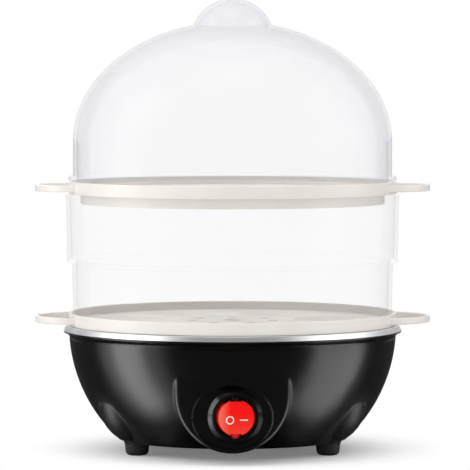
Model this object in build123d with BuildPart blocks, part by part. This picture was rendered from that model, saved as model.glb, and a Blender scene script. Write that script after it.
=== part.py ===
import os
from math import atan2, cos, degrees, radians, sin, sqrt
from build123d import *

os.makedirs("parts", exist_ok=True)

# Electric egg cooker with two egg trays. Sizes are in millimetres.
# Z is up, the feet stand on z = 0, the stack is round about the Z axis and the switch faces -Y.

# Clearances
lift_gap = 0.2            # between two parts that lift off each other
slip_gap = 0.2            # round a part pushed through a hole
running_gap = 0.05        # round a pin that turns in its hole
contact_gap = 0.3         # between a moving and a fixed inner part
overrun = 5.0             # how far a cutting shape runs past what it cuts

# Housing: a bowl whose side is one arc, widest a little above the housing's top
bowl_radius = 87.2
bowl_curve = 81.0
bowl_rise = 2.0           # from the housing's top up to where the arc would be widest
base_height = 6.4
housing_height = 57.6
housing_wall = 2.4
floor_wall = 3.0
lip_overhang = 2.8
lip_edge = 0.7
lip_hollow = 0.35
collar_height = 2.6
groove_depth = 0.45
groove_height = 0.9

# Switch drum on the front of the housing, a U in front view
drum_radius = 29.8
drum_top = 50.0
drum_setback = 2.7        # of the drum's face behind the widest point of the bowl
drum_edge_round = 2.4
pocket_half_width = 20.8
pocket_half_height = 16.8
pocket_depth = 3.7
seat_wall = 2.5

# Legs and feet
foot_circle = 58.0
foot_angles = (30, 150, 210, 330)
foot_radius = 6.6
foot_taper = 0.8
foot_round = 2.4
foot_plug_radius = 3.4
foot_plug_length = 2.2
leg_lean = 14.0
leg_radius = 15.4
leg_stub = 2.9            # straight start of a leg above its foot
leg_shoulder = 20.0       # along the leg, where it reaches its full width
leg_shoulder_bulge = 2.3
leg_length = 24.5
leg_dome = 8.0

# Bottom cover
cover_inset = 8.0         # of the cover's edge from the circle of the feet
cover_ledge = 10.0
cover_thickness = 1.6
cover_screw_angles = (90, 210, 330)
cover_screw_radius = 1.5
cover_screw_head_radius = 2.9
cover_screw_head = 1.6
cover_screw_round = 0.6
cover_screw_length = 9.0
cover_boss_radius = 4.0
cover_boss_height = 7.0
vent_count = 8
vent_circle = 26.0
vent_length = 13.0
vent_width = 2.4

# Heating pan
pan_sheet = 0.8
pan_depth = 22.1
pan_side_gap = 1.8        # between the pan and the housing's top
pan_corner = 12.0
pan_rim_rise = 2.9        # of the pan's rim above the housing's top
pan_rim_slope = 1.5
pan_rim_round = 0.7
pan_lip_inset = 0.3
gasket_width = 3.0
gasket_inset = 0.4
stud_inset = 16.2
stud_angles = (0, 120, 240)
stud_radius = 2.0
stud_length = 17.0
stud_base_radius = 3.6
stud_base = 1.0
lug_drop = 10.0           # of the lugs' undersides below the pan
lug_thickness = 4.0
lug_half_width = 5.0
nut_across_flats = 7.0
nut_height = 3.2

# Heater under the pan
spreader_radius = 50.0
spreader_thickness = 2.0
spreader_edge = 0.6
element_circle = 38.0
element_radius = 3.3
element_gap_angle = 60.0
element_tail = 9.0
element_pin_radius = 1.2
element_pin_length = 6.0
thermostat_radius = 8.2
thermostat_cup_height = 3.0
thermostat_cup_round = 0.5
thermostat_body_radius = 7.6
thermostat_body_height = 7.0
thermostat_body_edge = 0.8
blade_pitch = 10.2
blade_width = 4.8
blade_length = 6.0
blade_sheet = 0.8
bracket_span = 12.0
bracket_ear_radius = 3.6
bracket_sheet = 0.7
bracket_screw_radius = 1.5
bracket_screw_head_radius = 2.8
bracket_screw_head = 1.5
fuse_radius = 2.1
fuse_length = 12.0
fuse_edge = 0.4
fuse_offset = -21.0
fuse_lead_radius = 0.5
fuse_lead_length = 6.0
clip_width = 6.0
clip_sheet = 0.6
clip_ear = 5.5
block_length = 22.0
block_width = 12.0
block_height = 9.0
block_corner = 1.0
block_poles = 3
block_hole_radius = 1.6
block_hole_depth = 5.0
block_clearance = 3.0
block_angle = 60.0

# Cord bush at the back
inlet_rise = 11.6
inlet_pad_radius = 10.0
inlet_setback = 10.2
inlet_wall = 3.0
inlet_pocket_radius = 8.0
bush_bore = 3.3
bush_flange_width = 2.4
bush_flange = 2.2
bush_flange_taper = 0.6
bush_neck_wall = 1.8
bush_collar_width = 1.1
bush_collar = 2.5
bush_collar_taper = 1.2

# Switch
switch_x = 1.4
switch_rise = 18.5
bezel_width = 2.1
bezel_height = 2.2
bezel_slope_height = 1.6
bezel_slope_width = 2.6
bezel_inner_edge = 0.5
barrel_radius = 12.0
barrel_wall = 1.3
barrel_length = 24.8
barrel_back = 2.0
snap_width = 6.0
snap_height = 1.0
snap_length = 4.0
rocker_tilt = 9.0
rocker_gap = 1.15
rocker_front = 4.6
rocker_hollow = 1.2
rocker_back = 3.0
rocker_wall = 2.0
rocker_edge_round = 0.8
rocker_brim = 1.0         # how far the rocker's side view runs past its round outline
rocker_slot_width = 6.0
rocker_slot_depth = 1.3
hinge_boss_radius = 2.2
pivot_depth = 0.8         # rocker pivot in front of the switch seat's back
pivot_radius = 1.4
pivot_grip = 0.9
stem_radius = 2.9
stem_length = 7.5
plunger_radius = 1.95
plunger_reach = 12.2
plunger_length = 7.6
plunger_tip_round = 1.65
spring_wire = 0.4
spring_radius = 1.45
spring_turns = 4
bridge_tilt = 8.0
bridge_length = 14.0
bridge_width = 5.0
bridge_sheet = 0.8
bridge_bead_radius = 0.8
terminal_pitch = 6.0
terminal_width = 4.8
terminal_sheet = 0.8
terminal_tail = 9.0
lamp_terminal_rise = 1.5
pad_radius = 1.3
lamp_radius = 1.6
lamp_end_round = 0.9
lamp_length = 8.0
lamp_leg_pitch = 6.0
lamp_inset = 3.7
lamp_setback = 8.0
lamp_leg_radius = 0.3

# Egg trays, two alike
tray_setback = 1.3        # of the tray's side from the edge of the pan's rim
tray_wall = 1.5
tray_rim_height = 6.5
tray_rim_round = 0.5
tray_floor = 2.0
skirt_gap = 1.2           # between the skirt and the pan
skirt_wall = 1.6
skirt_depth = 5.5
seat_count = 7
seat_inset = 24.0         # of the seats' centres from the skirt's inner side
seat_hole_radius = 17.5
seat_flare = 4.1
seat_depth = 3.6
seat_sheet = 1.7
steam_hole_radius = 3.0
steam_circle = 22.0
steam_centre_radius = 5.0
ear_inset = 9.9
ear_radius = 27.9
ear_strip = 2.0
ear_bottom = 1.3
ear_height = 3.5
ear_edge_round = 0.5

# Clear middle ring
rim_gap = 0.85            # round the ring's foot and the lid's wall inside a tray's rim
ring_wall = 1.8
ring_draft = 0.6
ring_step_width = 2.6
ring_height = 67.4
ring_step_height = 31.2
ring_step_rise = 1.0
ring_edge_round = 0.5

# Clear lid
lid_wall = 1.8
lid_flange = 2.6
lid_flange_round = 0.6
lid_spigot = 2.8
dome_start = 18.6         # top of the straight wall above the flange
dome_height = 63.4
knob_centre = 53.1        # above the straight wall
knob_radius = 22.5
knob_neck_round = 2.0
vent_radius = 3.2

# Sizes that follow in the housing
housing_top = base_height + housing_height
bowl_level = housing_top + bowl_rise
lip_radius = bowl_radius + lip_overhang
drum_reach = bowl_radius - drum_setback
pocket_floor = drum_reach - pocket_depth      # distance of the switch seat from the Z axis
housing_floor = base_height + floor_wall
cover_radius = foot_circle - cover_inset
cover_opening = cover_radius - cover_ledge
cover_screw_circle = (cover_radius + cover_opening) / 2
block_circle = cover_opening + block_clearance + block_width / 2
inlet_height = base_height + inlet_rise
inlet_pad_face = bowl_radius - inlet_setback
bush_neck_radius = bush_bore + bush_neck_wall
bush_collar_radius = bush_neck_radius + bush_collar_width
bush_flange_radius = bush_neck_radius + bush_flange_width


def bowl_side(height, inset=0.0):
    """Radius of the bowl's side at a height, or of the same side moved in by inset."""
    reach = bowl_curve - inset
    return bowl_radius - bowl_curve + sqrt(reach**2 - (bowl_level - height) ** 2)


# Sizes that follow in the pan and the heater
pan_rim_top = housing_top + pan_rim_rise
pan_floor = pan_rim_top - pan_depth
pan_radius = bowl_side(housing_top, housing_wall) - pan_side_gap - pan_sheet
pan_rim_radius = lip_radius - pan_rim_slope
stud_circle = pan_radius - stud_inset
spreader_top = pan_floor - pan_sheet
spreader_bottom = spreader_top - spreader_thickness
lug_bottom = spreader_top - lug_drop

# Sizes that follow in the switch
switch_height = base_height + switch_rise
bezel_radius = barrel_radius + bezel_width
barrel_bore = barrel_radius - barrel_wall
rocker_radius = barrel_bore - rocker_gap
boss_end = barrel_bore - 2 * contact_gap
pivot_y = -(pocket_floor - pivot_depth)

# Sizes that follow in the trays, the ring and the lid
tray_radius = pan_rim_radius - tray_setback
tray_inside = tray_radius - tray_wall
skirt_radius = pan_radius - skirt_gap
seat_circle = skirt_radius - skirt_wall - seat_inset
seat_top_radius = seat_hole_radius + seat_flare
ear_centre = tray_radius - ear_inset
ring_foot_radius = tray_inside - rim_gap
ring_neck_radius = ring_foot_radius + ring_draft
ring_step_radius = ring_neck_radius + ring_step_width
ring_top_radius = ring_step_radius + ring_draft
lid_radius = tray_inside - rim_gap

# Levels that follow in the stack
lower_tray_level = pan_rim_top + lift_gap
ring_level = lower_tray_level + tray_floor + lift_gap
upper_tray_level = ring_level + ring_height + lift_gap
lid_level = upper_tray_level + tray_rim_height + lift_gap
dome_level = lid_level + lid_flange + dome_start


def finish(piece, name):
    """Name a finished piece and write its STEP file."""
    piece.part.label = name
    export_step(piece.part, f"parts/{name}.step")


# Hollow inside the housing
with BuildPart() as housing_hollow:
    with BuildSketch(Plane.XZ):
        with BuildLine():
            low = (bowl_side(housing_floor, housing_wall), housing_floor)
            middle_height = (housing_floor + housing_top) / 2
            middle = (bowl_side(middle_height, housing_wall), middle_height)
            high = (bowl_side(housing_top, housing_wall), housing_top)
            ThreePointArc(low, middle, high)
            above = housing_top + overrun
            Polyline(high, (high[0], above), (0, above), (0, housing_floor), low)
        make_face()
    revolve(axis=Axis.Z)

# Inside of the switch drum
with BuildPart() as drum_hollow:
    with BuildSketch(Plane.XZ):
        with Locations((0, base_height + drum_radius)):
            Circle(drum_radius - housing_wall)
        with Locations((0, (base_height + drum_radius + drum_top) / 2)):
            Rectangle(2 * (drum_radius - housing_wall), drum_top - base_height - drum_radius)
    extrude(amount=drum_reach + overrun)
    with BuildSketch(Plane.XY):
        Circle(drum_reach - housing_wall)
    extrude(amount=drum_top + overrun, mode=Mode.INTERSECT)
    with BuildSketch(Plane.XZ.offset(pocket_floor - seat_wall)):
        with Locations((0, switch_height)):
            Ellipse(pocket_half_width + housing_wall, pocket_half_height + housing_wall)
    extrude(amount=drum_reach - pocket_floor + seat_wall, mode=Mode.SUBTRACT)
    with BuildSketch(Plane.XY):
        Circle(drum_reach + overrun)
    extrude(amount=housing_floor, mode=Mode.SUBTRACT)

# One leg, leaning outwards with the bowl: a stub, a round shoulder and a dome inside the bowl
leg_axis = Axis((foot_circle, 0, base_height), (sin(radians(leg_lean)), 0, cos(radians(leg_lean))))
leg_plane = Plane(
    origin=leg_axis.position,
    x_dir=(cos(radians(leg_lean)), 0, -sin(radians(leg_lean))),
    z_dir=(0, -1, 0),
)
with BuildPart() as leg:
    with BuildSketch(leg_plane):
        with BuildLine():
            Polyline((0, leg_length + leg_dome), (0, 0), (foot_radius, 0), (foot_radius, leg_stub))
            SagittaArc((foot_radius, leg_stub), (leg_radius, leg_shoulder), -leg_shoulder_bulge)
            Line((leg_radius, leg_shoulder), (leg_radius, leg_length))
            ThreePointArc(
                (leg_radius, leg_length),
                (leg_radius * cos(radians(45)), leg_length + leg_dome * sin(radians(45))),
                (0, leg_length + leg_dome),
            )
        make_face()
    revolve(axis=leg_axis)
    with BuildSketch(Plane.XY.offset(base_height)):
        with Locations((foot_circle, 0)):
            Circle(leg_radius)
    extrude(amount=-leg_radius, mode=Mode.SUBTRACT)

# Housing: bowl, lip, switch drum, legs, inner lugs and bosses in one moulding
with BuildPart() as base_housing:
    with BuildSketch(Plane.XZ):
        with Locations((0, base_height + drum_radius)):
            Circle(drum_radius)
        with Locations((0, (base_height + drum_radius + drum_top) / 2)):
            Rectangle(2 * drum_radius, drum_top - base_height - drum_radius)
    extrude(amount=drum_reach + overrun)
    with BuildSketch(Plane.XY):
        Circle(drum_reach)
    extrude(amount=drum_top + overrun, mode=Mode.INTERSECT)
    drum_rim = edges().filter_by(lambda edge: edge.center().Y < -drum_reach / 2)
    drum_rim = drum_rim.filter_by(lambda edge: edge.center().Z < drum_top - drum_edge_round)
    fillet(drum_rim, drum_edge_round)
    with BuildSketch(Plane.XZ):
        with BuildLine():
            groove_level = housing_top - collar_height - groove_height
            low = (bowl_side(base_height), base_height)
            middle = (bowl_side((base_height + groove_level) / 2), (base_height + groove_level) / 2)
            high = (bowl_side(groove_level), groove_level)
            ThreePointArc(low, middle, high)
            collar_foot = (bowl_radius, housing_top - collar_height)
            Polyline(
                high,
                (high[0] - groove_depth, groove_level + groove_height / 2),
                collar_foot,
            )
            lip_under = (lip_radius, housing_top - lip_edge)
            SagittaArc(collar_foot, lip_under, lip_hollow)
            Polyline(lip_under, (lip_radius, housing_top), (0, housing_top), (0, base_height), low)
        make_face()
    revolve(axis=Axis.Z)
    for angle in foot_angles:
        add(leg.part, rotation=(0, 0, angle))
    with BuildSketch(Plane.XZ.offset(-inlet_pad_face)):
        with Locations((0, inlet_height)):
            Circle(inlet_pad_radius)
    extrude(amount=inlet_pad_face / 2)
    add(housing_hollow.part, mode=Mode.SUBTRACT)
    add(drum_hollow.part, mode=Mode.SUBTRACT)
    # Seat and mounting hole of the switch
    with BuildSketch(Plane.XZ.offset(pocket_floor)):
        with Locations((0, switch_height)):
            Ellipse(pocket_half_width, pocket_half_height)
    extrude(amount=drum_reach - pocket_floor + overrun, mode=Mode.SUBTRACT)
    with BuildSketch(Plane.XZ.offset(pocket_floor + overrun)):
        with Locations((switch_x, switch_height)):
            Circle(barrel_radius + slip_gap)
    extrude(amount=-seat_wall - 2 * overrun, mode=Mode.SUBTRACT)
    # Cord inlet, with an inner pocket that gives the bush a flat wall
    with BuildSketch(Plane.XZ.offset(-(inlet_pad_face - inlet_wall))):
        with Locations((0, inlet_height)):
            Circle(inlet_pocket_radius)
    extrude(amount=inlet_pad_face / 2, mode=Mode.SUBTRACT)
    with BuildSketch(Plane.XZ.offset(-(inlet_pad_face + overrun))):
        with Locations((0, inlet_height)):
            Circle(bush_neck_radius + slip_gap)
    extrude(amount=inlet_wall + 2 * overrun, mode=Mode.SUBTRACT)
    # Lugs that take the pan's studs
    with BuildSketch(Plane.XY.offset(lug_bottom)):
        for angle in stud_angles:
            with Locations(Rotation(0, 0, angle)):
                lug_end = bowl_side(lug_bottom, housing_wall / 2)
                with Locations(((stud_circle + lug_end) / 2, 0)):
                    Rectangle(lug_end - stud_circle, 2 * lug_half_width)
                with Locations((stud_circle, 0)):
                    Circle(lug_half_width)
    extrude(amount=lug_thickness)
    with BuildSketch(Plane.XY.offset(lug_bottom)):
        for angle in stud_angles:
            with Locations(Rotation(0, 0, angle)):
                with Locations((stud_circle, 0)):
                    Circle(stud_radius + slip_gap)
    extrude(amount=lug_thickness, mode=Mode.SUBTRACT)
    # Service opening with a rebate for the cover, and bosses for its screws
    with BuildSketch(Plane.XY.offset(base_height)):
        Circle(cover_radius + slip_gap)
    extrude(amount=cover_thickness, mode=Mode.SUBTRACT)
    with BuildSketch(Plane.XY.offset(base_height)):
        Circle(cover_opening)
    extrude(amount=floor_wall, mode=Mode.SUBTRACT)
    with BuildSketch(Plane.XY.offset(base_height + cover_thickness)):
        for angle in cover_screw_angles:
            with Locations(Rotation(0, 0, angle)):
                with Locations((cover_screw_circle, 0)):
                    Circle(cover_boss_radius)
    extrude(amount=floor_wall - cover_thickness + cover_boss_height)
    with BuildSketch(Plane.XY.offset(base_height)):
        for angle in cover_screw_angles:
            with Locations(Rotation(0, 0, angle)):
                with Locations((cover_screw_circle, 0)):
                    Circle(cover_screw_radius)
    extrude(amount=cover_screw_length + slip_gap, mode=Mode.SUBTRACT)
    # Sockets in the legs for the plugs of the feet
    with BuildSketch(Plane.XY.offset(base_height)):
        for angle in foot_angles:
            with Locations(Rotation(0, 0, angle)):
                with Locations((foot_circle, 0)):
                    Circle(foot_plug_radius + running_gap)
    extrude(amount=foot_plug_length + slip_gap, mode=Mode.SUBTRACT)
finish(base_housing, "base_housing")

# Cover that closes the underside, with vent slots
with BuildPart() as bottom_cover:
    with BuildSketch(Plane.XY.offset(base_height)):
        Circle(cover_radius)
        with PolarLocations(vent_circle, vent_count):
            SlotOverall(vent_length, vent_width, mode=Mode.SUBTRACT)
        for angle in cover_screw_angles:
            with Locations(Rotation(0, 0, angle)):
                with Locations((cover_screw_circle, 0)):
                    Circle(cover_screw_radius + slip_gap, mode=Mode.SUBTRACT)
    extrude(amount=cover_thickness)
finish(bottom_cover, "bottom_cover")

# Pan-head screws of the cover
with BuildPart() as cover_screws:
    for angle in cover_screw_angles:
        with Locations(Rotation(0, 0, angle)):
            with Locations((cover_screw_circle, 0, base_height - cover_screw_head / 2)):
                Cylinder(cover_screw_head_radius, cover_screw_head)
            with Locations((cover_screw_circle, 0, base_height + cover_screw_length / 2)):
                Cylinder(cover_screw_radius, cover_screw_length)
    fillet(faces().group_by(Axis.Z)[0].edges(), cover_screw_round)
finish(cover_screws, "cover_screws")

# Rubber feet, each with a plug that holds it in its leg
foot_names = ("foot_rear_right", "foot_rear_left", "foot_front_left", "foot_front_right")
for angle, foot_name in zip(foot_angles, foot_names):
    with BuildPart() as foot:
        with Locations(Rotation(0, 0, angle)):
            with Locations((foot_circle, 0, base_height / 2)):
                Cone(foot_radius - foot_taper, foot_radius, base_height)
            fillet(edges().filter_by(GeomType.CIRCLE).sort_by(Axis.Z)[0], foot_round)
            with Locations((foot_circle, 0, base_height + foot_plug_length / 2)):
                Cylinder(foot_plug_radius, foot_plug_length)
    finish(foot, foot_name)

# Stainless pan: dish for the water, flat rim and a lip turned down over the housing
with BuildPart() as heating_pan:
    with BuildSketch(Plane.XZ):
        with BuildLine():
            Polyline(
                (0, pan_floor - pan_sheet),
                (pan_radius + pan_sheet, pan_floor - pan_sheet),
                (pan_radius + pan_sheet, pan_rim_top - pan_sheet),
                (pan_rim_radius - pan_lip_inset, pan_rim_top - pan_sheet),
                (lip_radius - pan_sheet, housing_top + lift_gap),
                (lip_radius, housing_top + lift_gap),
                (pan_rim_radius, pan_rim_top),
                (pan_radius, pan_rim_top),
                (pan_radius, pan_floor),
                (0, pan_floor),
                close=True,
            )
        make_face()
        half_sheet = pan_sheet / 2
        outer_corner = vertices().filter_by_position(Axis.X, pan_radius + half_sheet, pan_radius + 2 * pan_sheet)
        fillet(outer_corner.sort_by(Axis.Y)[0], pan_corner + pan_sheet)
        inner_corner = vertices().filter_by_position(Axis.X, pan_radius - half_sheet, pan_radius + half_sheet)
        fillet(inner_corner.sort_by(Axis.Y)[0], pan_corner)
        rim_corner = vertices().group_by(Axis.Y)[-1].sort_by(Axis.X)[-1]
        fillet(rim_corner, pan_rim_round)
    revolve(axis=Axis.Z)
finish(heating_pan, "heating_pan")

# Soft ring between the housing's top and the pan's rim
with BuildPart() as pan_gasket:
    gasket_height = pan_rim_top - pan_sheet - housing_top
    gasket_inner = bowl_side(housing_top, housing_wall) + gasket_inset
    with BuildSketch(Plane.XY.offset(housing_top)):
        Circle(gasket_inner + gasket_width)
        Circle(gasket_inner, mode=Mode.SUBTRACT)
    extrude(amount=gasket_height)
finish(pan_gasket, "pan_gasket")

# Weld studs on the pan's underside and the nuts that pull it down
with BuildPart() as pan_studs:
    for angle in stud_angles:
        with Locations(Rotation(0, 0, angle)):
            with Locations((stud_circle, 0, spreader_top - stud_base / 2)):
                Cylinder(stud_base_radius, stud_base)
            with Locations((stud_circle, 0, spreader_top - stud_length / 2)):
                Cylinder(stud_radius, stud_length)
finish(pan_studs, "pan_studs")

with BuildPart() as pan_nuts:
    with BuildSketch(Plane.XY.offset(lug_bottom - nut_height)):
        for angle in stud_angles:
            with Locations(Rotation(0, 0, angle)):
                with Locations((stud_circle, 0)):
                    RegularPolygon(nut_across_flats / 2, 6, major_radius=False)
                    Circle(stud_radius + running_gap, mode=Mode.SUBTRACT)
    extrude(amount=nut_height)
finish(pan_nuts, "pan_nuts")

# Aluminium plate that spreads the heat under the pan
with BuildPart() as heat_spreader:
    with BuildSketch(Plane.XY.offset(spreader_bottom)):
        Circle(spreader_radius)
    extrude(amount=spreader_thickness)
    chamfer(edges().filter_by(GeomType.CIRCLE).sort_by(Axis.Z)[0], spreader_edge)
finish(heat_spreader, "heat_spreader")

# Tubular element: an open ring with straight tails and cold pins
with BuildPart() as heating_element:
    element_level = spreader_bottom - element_radius - running_gap
    start_angle = 90 + element_gap_angle / 2
    sweep_angle = 360 - element_gap_angle
    with BuildLine(Plane.XY.offset(element_level)):
        ring_path = CenterArc((0, 0), element_circle, start_angle, sweep_angle)
        Line(ring_path @ 0, (ring_path @ 0) - (ring_path % 0) * element_tail)
        Line(ring_path @ 1, (ring_path @ 1) + (ring_path % 1) * element_tail)
    tail_start = (ring_path @ 0) - (ring_path % 0) * element_tail
    tail_end = (ring_path @ 1) + (ring_path % 1) * element_tail
    with BuildSketch(Plane(origin=tail_start, z_dir=ring_path % 0)):
        Circle(element_radius)
    sweep()
    for tip, way in ((tail_start, ring_path % 0), (tail_end, (ring_path % 1) * -1)):
        with BuildSketch(Plane(origin=tip, z_dir=way)):
            Circle(element_pin_radius)
        extrude(amount=-element_pin_length)
finish(heating_element, "heating_element")

# Bimetal thermostat held against the spreader: cup, body and a two-eared bracket
with BuildPart() as thermostat_cup:
    with Locations((0, 0, spreader_bottom - thermostat_cup_height / 2)):
        Cylinder(thermostat_radius, thermostat_cup_height)
    fillet(edges().filter_by(GeomType.CIRCLE).sort_by(Axis.Z)[-1], thermostat_cup_round)
finish(thermostat_cup, "thermostat_cup")

body_top = spreader_bottom - thermostat_cup_height
with BuildPart() as thermostat_body:
    with Locations((0, 0, body_top - thermostat_body_height / 2)):
        Cylinder(thermostat_body_radius, thermostat_body_height)
    chamfer(edges().filter_by(GeomType.CIRCLE).sort_by(Axis.Z)[0], thermostat_body_edge)
    blade_top = body_top - thermostat_body_height
    with GridLocations(blade_pitch, 0, 2, 1):
        with Locations((0, 0, blade_top - blade_length / 2)):
            Box(blade_sheet, blade_width, blade_length)
finish(thermostat_body, "thermostat_body")

with BuildPart() as thermostat_bracket:
    with BuildSketch(Plane.XY.offset(body_top - bracket_sheet)):
        with GridLocations(2 * bracket_span, 0, 2, 1):
            Circle(bracket_ear_radius)
        Rectangle(2 * bracket_span, 2 * bracket_ear_radius)
        Circle(thermostat_radius + bracket_sheet)
        Circle(thermostat_body_radius + slip_gap, mode=Mode.SUBTRACT)
        with GridLocations(2 * bracket_span, 0, 2, 1):
            Circle(bracket_screw_radius + slip_gap, mode=Mode.SUBTRACT)
    extrude(amount=bracket_sheet)
finish(thermostat_bracket, "thermostat_bracket")

with BuildPart() as bracket_screws:
    screw_top = body_top - bracket_sheet
    with GridLocations(2 * bracket_span, 0, 2, 1):
        with Locations((0, 0, screw_top - bracket_screw_head / 2)):
            Cylinder(bracket_screw_head_radius, bracket_screw_head)
        with Locations((0, 0, (screw_top + spreader_bottom) / 2)):
            Cylinder(bracket_screw_radius, spreader_bottom - screw_top)
finish(bracket_screws, "bracket_screws")

# Thermal fuse under its clip
fuse_level = spreader_bottom - fuse_radius - running_gap
with BuildPart() as thermal_fuse:
    with BuildSketch(Plane.YZ.offset(-fuse_length / 2)):
        with Locations((fuse_offset, fuse_level)):
            Circle(fuse_radius)
    extrude(amount=fuse_length)
    chamfer(edges().filter_by(GeomType.CIRCLE), fuse_edge)
    with BuildSketch(Plane.YZ.offset(-fuse_length / 2 - fuse_lead_length)):
        with Locations((fuse_offset, fuse_level)):
            Circle(fuse_lead_radius)
    extrude(amount=fuse_length + 2 * fuse_lead_length)
finish(thermal_fuse, "thermal_fuse")

with BuildPart() as fuse_clip:
    clip_inner = fuse_radius + running_gap
    clip_outer = clip_inner + clip_sheet
    with BuildSketch(Plane.YZ.offset(-clip_width / 2)):
        clip_rise = spreader_bottom - fuse_level
        with Locations((fuse_offset, fuse_level)):
            Circle(clip_outer)
            Rectangle(2 * clip_outer, clip_rise, align=(Align.CENTER, Align.MIN))
        with Locations((fuse_offset, spreader_bottom)):
            Rectangle(2 * (clip_outer + clip_ear), clip_sheet, align=(Align.CENTER, Align.MAX))
        with Locations((fuse_offset, fuse_level)):
            Circle(clip_inner, mode=Mode.SUBTRACT)
            Rectangle(2 * clip_inner, clip_rise, align=(Align.CENTER, Align.MIN), mode=Mode.SUBTRACT)
        with Locations((fuse_offset, spreader_bottom)):
            Rectangle(2 * clip_outer, clip_outer, align=(Align.CENTER, Align.MIN), mode=Mode.SUBTRACT)
    extrude(amount=clip_width)
finish(fuse_clip, "fuse_clip")

# Terminal block on the housing floor
with BuildPart() as terminal_block:
    with Locations(Rotation(0, 0, block_angle)):
        with Locations((block_circle, 0, housing_floor + block_height / 2)):
            Box(block_width, block_length, block_height)
            fillet(edges().filter_by(Axis.Z), block_corner)
            with GridLocations(0, block_length / block_poles, 1, block_poles):
                with Locations((0, 0, block_height / 2)):
                    Hole(block_hole_radius, block_hole_depth)
finish(terminal_block, "terminal_block")

# Bush that lines the cord inlet
with BuildPart() as cord_bush:
    bush_plane = Plane(origin=(0, inlet_pad_face, inlet_height), x_dir=(1, 0, 0), z_dir=(0, 0, 1))
    with BuildSketch(bush_plane):
        with BuildLine():
            Polyline(
                (bush_bore, -inlet_wall - bush_collar),
                (bush_collar_radius - bush_collar_taper, -inlet_wall - bush_collar),
                (bush_collar_radius, -inlet_wall - lift_gap),
                (bush_neck_radius, -inlet_wall - lift_gap),
                (bush_neck_radius, 0),
                (bush_flange_radius, 0),
                (bush_flange_radius - bush_flange_taper, bush_flange),
                (bush_bore, bush_flange),
                close=True,
            )
        make_face()
    revolve(axis=Axis((0, inlet_pad_face, inlet_height), (0, 1, 0)))
finish(cord_bush, "cord_bush")

# Switch frame: bezel, round barrel, closed back and two snap wedges
seat_plane = Plane(origin=(switch_x, -pocket_floor, switch_height), x_dir=(1, 0, 0), z_dir=(0, -1, 0))
pivot_plane = Plane(origin=(switch_x, pivot_y, switch_height), x_dir=(1, 0, 0), z_dir=(0, 0, 1))
barrel_end = barrel_length - bezel_height
bridge_y = pivot_y + plunger_reach + contact_gap + bridge_sheet / 2
with BuildPart() as switch_frame:
    with BuildSketch(seat_plane):
        Circle(bezel_radius)
    extrude(amount=bezel_height)
    bezel_rim = edges().filter_by(GeomType.CIRCLE).sort_by(Axis.Y)[0]
    chamfer(bezel_rim, bezel_slope_height, bezel_slope_width)
    with BuildSketch(seat_plane):
        Circle(barrel_radius)
    extrude(amount=-barrel_end)
    with BuildSketch(seat_plane):
        with Locations((barrel_radius, 0), (-barrel_radius, 0)):
            Rectangle(2 * snap_height, snap_width)
    extrude(amount=-seat_wall - slip_gap - snap_length)
    with BuildSketch(seat_plane):
        Circle(2 * barrel_radius)
        Circle(barrel_radius, mode=Mode.SUBTRACT)
    extrude(amount=-seat_wall - slip_gap, mode=Mode.SUBTRACT)
    with BuildSketch(seat_plane.offset(bezel_height)):
        Circle(barrel_bore)
    extrude(amount=barrel_back - barrel_length, mode=Mode.SUBTRACT)
    chamfer(edges().filter_by(GeomType.CIRCLE).sort_by(Axis.Y)[0], bezel_inner_edge)
    with BuildSketch(pivot_plane):
        Circle(pivot_radius + running_gap)
    extrude(amount=barrel_bore + pivot_grip + contact_gap, both=True, mode=Mode.SUBTRACT)
    with BuildSketch(seat_plane.offset(-barrel_end)):
        with GridLocations(terminal_pitch, 0, 3, 1):
            Rectangle(terminal_sheet + 2 * running_gap, terminal_width + 2 * running_gap)
    extrude(amount=barrel_back, mode=Mode.SUBTRACT)
finish(switch_frame, "switch_frame")

# Rocker at its pressed-right position, tilted about the vertical pivot
tilt = radians(rocker_tilt)
rocker_top_plane = Plane(
    origin=(switch_x, pivot_y, switch_height),
    x_dir=(cos(tilt), sin(tilt), 0),
    z_dir=(0, 0, 1),
)
rocker_face_plane = Plane(
    origin=(switch_x, pivot_y, switch_height),
    x_dir=(cos(tilt), sin(tilt), 0),
    z_dir=(sin(tilt), -cos(tilt), 0),
)
with BuildPart() as rocker:
    with BuildSketch(rocker_face_plane.offset(-rocker_back)):
        Circle(rocker_radius)
    extrude(amount=rocker_back + rocker_front + rocker_brim)
    with BuildSketch(rocker_top_plane):
        with BuildLine():
            view_edge = rocker_radius + rocker_brim
            Polyline(
                (view_edge, -rocker_front),
                (view_edge, rocker_back),
                (-view_edge, rocker_back),
                (-view_edge, -rocker_front),
            )
            ThreePointArc(
                (-view_edge, -rocker_front),
                (0, rocker_hollow - rocker_front),
                (view_edge, -rocker_front),
            )
        make_face()
    extrude(amount=view_edge, both=True, mode=Mode.INTERSECT)
    fillet(faces().sort_by(Axis.Y)[0].edges(), rocker_edge_round)
    with BuildSketch(rocker_face_plane.offset(rocker_front + rocker_brim)):
        with GridLocations(0, 2 * (rocker_radius - rocker_slot_depth / 2), 1, 2):
            Rectangle(rocker_slot_width, rocker_slot_depth)
    extrude(amount=-rocker_brim - rocker_front - rocker_back, mode=Mode.SUBTRACT)
    with BuildSketch(rocker_face_plane.offset(-rocker_back)):
        Circle(rocker_radius - rocker_wall)
    extrude(amount=rocker_back + rocker_front - rocker_hollow - rocker_wall, mode=Mode.SUBTRACT)
    with BuildSketch(rocker_face_plane.offset(-stem_length)):
        Circle(stem_radius)
    extrude(amount=stem_length + rocker_front - rocker_hollow - rocker_wall / 2)
    with BuildSketch(rocker_face_plane.offset(-stem_length)):
        Circle(plunger_radius + running_gap)
    extrude(amount=stem_length, mode=Mode.SUBTRACT)
    for side in (1, -1):
        for radius, end in ((hinge_boss_radius, boss_end), (pivot_radius, barrel_bore + pivot_grip)):
            with BuildSketch(rocker_top_plane.offset(side * end)):
                Circle(radius)
            extrude(amount=-side * (end - rocker_radius + rocker_wall))
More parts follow.
